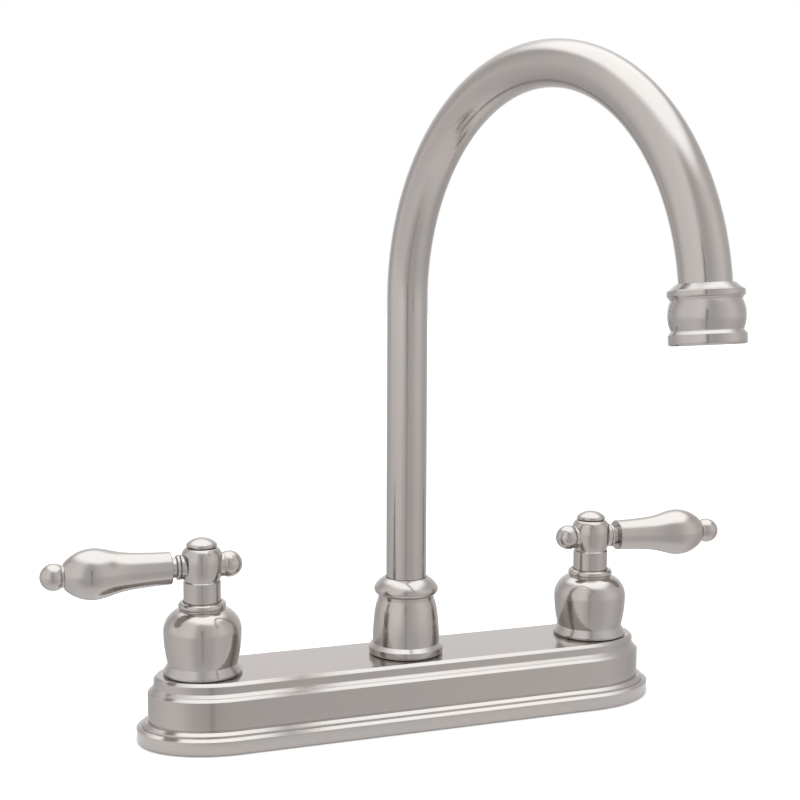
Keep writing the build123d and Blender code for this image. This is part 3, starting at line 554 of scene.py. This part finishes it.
# ---------------------------------------------------------------- added detail
# Threads on the shanks: a helical ridge that dies away over its first and last half turn
THREAD_PITCH = 1.814 * MM
THREAD_DEPTH = 0.42 * MM
THREAD_ROOT_HALF = 0.80 * MM
THREAD_CREST_HALF = 0.16 * MM
THREAD_SUNK = 0.03 * MM
THREAD_STEPS = 56
THREAD_FADE_TURNS = 0.5
SHANK_RADIUS = 10.45 * MM
HALF_SPACING = 101.6 * MM
# The bottom and top of each thread
THREAD_SPANS = {
    "supply": (-49.2 * MM, -32.9 * MM),
    "mounting": (-29.7 * MM, -4.2 * MM),
}
# The aerator's wire screen, in its place at the spout's outlet
SPOUT_TURN = radians(11.7)
ARC_RADIUS = 100.0 * MM
OUTLET_TILT = radians(5.0)
SPRING_LINE = 204.65 * MM
SCREEN_AT = 17.7 * MM
SCREEN_RADIUS = 8.6 * MM
WIRE_PITCH = 0.95 * MM
WIRE_RADIUS = 0.13 * MM
WIRE_SIDES = 6
# Rows of points along a wire: per pitch, and at least
WIRE_STEPS = 4
WIRE_LEAST_ROWS = 3


def add_piece(name, vertices, faces, material, body):
    """A new smooth mesh object that rides on a body."""
    mesh = bpy.data.meshes.new(name)
    mesh.from_pydata(vertices, [], faces)
    mesh.polygons.foreach_set("use_smooth", [True] * len(mesh.polygons))
    piece = bpy.data.objects.new(name, mesh)
    bpy.context.scene.collection.objects.link(piece)
    mesh.materials.append(material)
    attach(piece, body)


def strip_faces(rows, sides, closed=False):
    """Quads between neighbouring rows of points, each row with this many points."""
    faces = []
    for row in range(rows - 1):
        for side in range(sides if closed else sides - 1):
            a = row * sides + side
            b = row * sides + (side + 1) % sides
            faces.append((a, b, b + sides, a + sides))
    return faces


def make_thread(name, x, bottom, top, material):
    """A helical ridge on the shank at x."""
    turns = (top - bottom) / THREAD_PITCH
    rows = int(turns * THREAD_STEPS) + 1
    low = SHANK_RADIUS - THREAD_SUNK
    vertices = []
    for row in range(rows):
        turn = row / THREAD_STEPS
        angle = 2 * pi * turn
        fade = min(1.0, turn / THREAD_FADE_TURNS, (turns - turn) / THREAD_FADE_TURNS)
        high = SHANK_RADIUS + THREAD_DEPTH * max(fade, 0.0)
        middle = bottom + THREAD_PITCH * turn
        profile = (
            (-THREAD_ROOT_HALF, low),
            (-THREAD_CREST_HALF, high),
            (THREAD_CREST_HALF, high),
            (THREAD_ROOT_HALF, low),
        )
        for height, radius in profile:
            vertices.append((x + radius * cos(angle), radius * sin(angle), middle + height))
    add_piece(name, vertices, strip_faces(rows, len(profile)), material, "base")


def make_wire(start, end, side, lift, phase, vertices, faces):
    """One wire of the woven screen, waving over and under the wires that it crosses."""
    length = (end - start).length
    rows = max(WIRE_LEAST_ROWS, int(length / WIRE_PITCH * WIRE_STEPS))
    first = len(vertices)
    for row in range(rows):
        share = row / (rows - 1)
        wave = cos(pi * share * length / WIRE_PITCH + phase) * WIRE_RADIUS
        middle = start.lerp(end, share) + lift * wave
        for corner in range(WIRE_SIDES):
            angle = 2 * pi * corner / WIRE_SIDES
            vertices.append(middle + (side * cos(angle) + lift * sin(angle)) * WIRE_RADIUS)
    faces.extend(
        tuple(first + index for index in face) for face in strip_faces(rows, WIRE_SIDES, True)
    )


def make_screen(material):
    """The woven wire screen under the aerator's insert."""
    out = Vector((sin(SPOUT_TURN), -cos(SPOUT_TURN), 0))
    across = Vector((cos(SPOUT_TURN), sin(SPOUT_TURN), 0))
    down = out * sin(OUTLET_TILT) - Vector((0, 0, cos(OUTLET_TILT)))
    along = down.cross(across)
    tube_end = out * (ARC_RADIUS * (1 + cos(OUTLET_TILT)))
    tube_end.z = SPRING_LINE + ARC_RADIUS * sin(OUTLET_TILT)
    middle = tube_end + down * SCREEN_AT
    vertices = []
    faces = []
    count = int(SCREEN_RADIUS / WIRE_PITCH)
    for index in range(-count, count + 1):
        away = index * WIRE_PITCH
        half = (SCREEN_RADIUS**2 - away**2) ** 0.5
        phase = pi * index + pi * half / WIRE_PITCH
        for line, side, shift in ((across, along, 0), (along, across, pi)):
            centre = middle + side * away
            make_wire(
                centre - line * half, centre + line * half, side, down, shift - phase,
                vertices, faces,
            )
    add_piece("aerator_screen", vertices, faces, material, "spout")


def add_details(materials):
    """The shanks' threads and the aerator's screen."""
    for side, x in (("hot", -HALF_SPACING), ("cold", HALF_SPACING)):
        for part, (bottom, top) in THREAD_SPANS.items():
            make_thread(f"{side}_{part}_thread", x, bottom, top, materials["raw_brass"])
    make_screen(materials["steel"])


# ---------------------------------------------------------------- build
make_camera()
make_world()
make_floor()
make_camera_stand()
materials = make_materials()
dress_nodes(materials)
add_details(materials)

bpy.context.scene.view_settings.view_transform = "Standard"
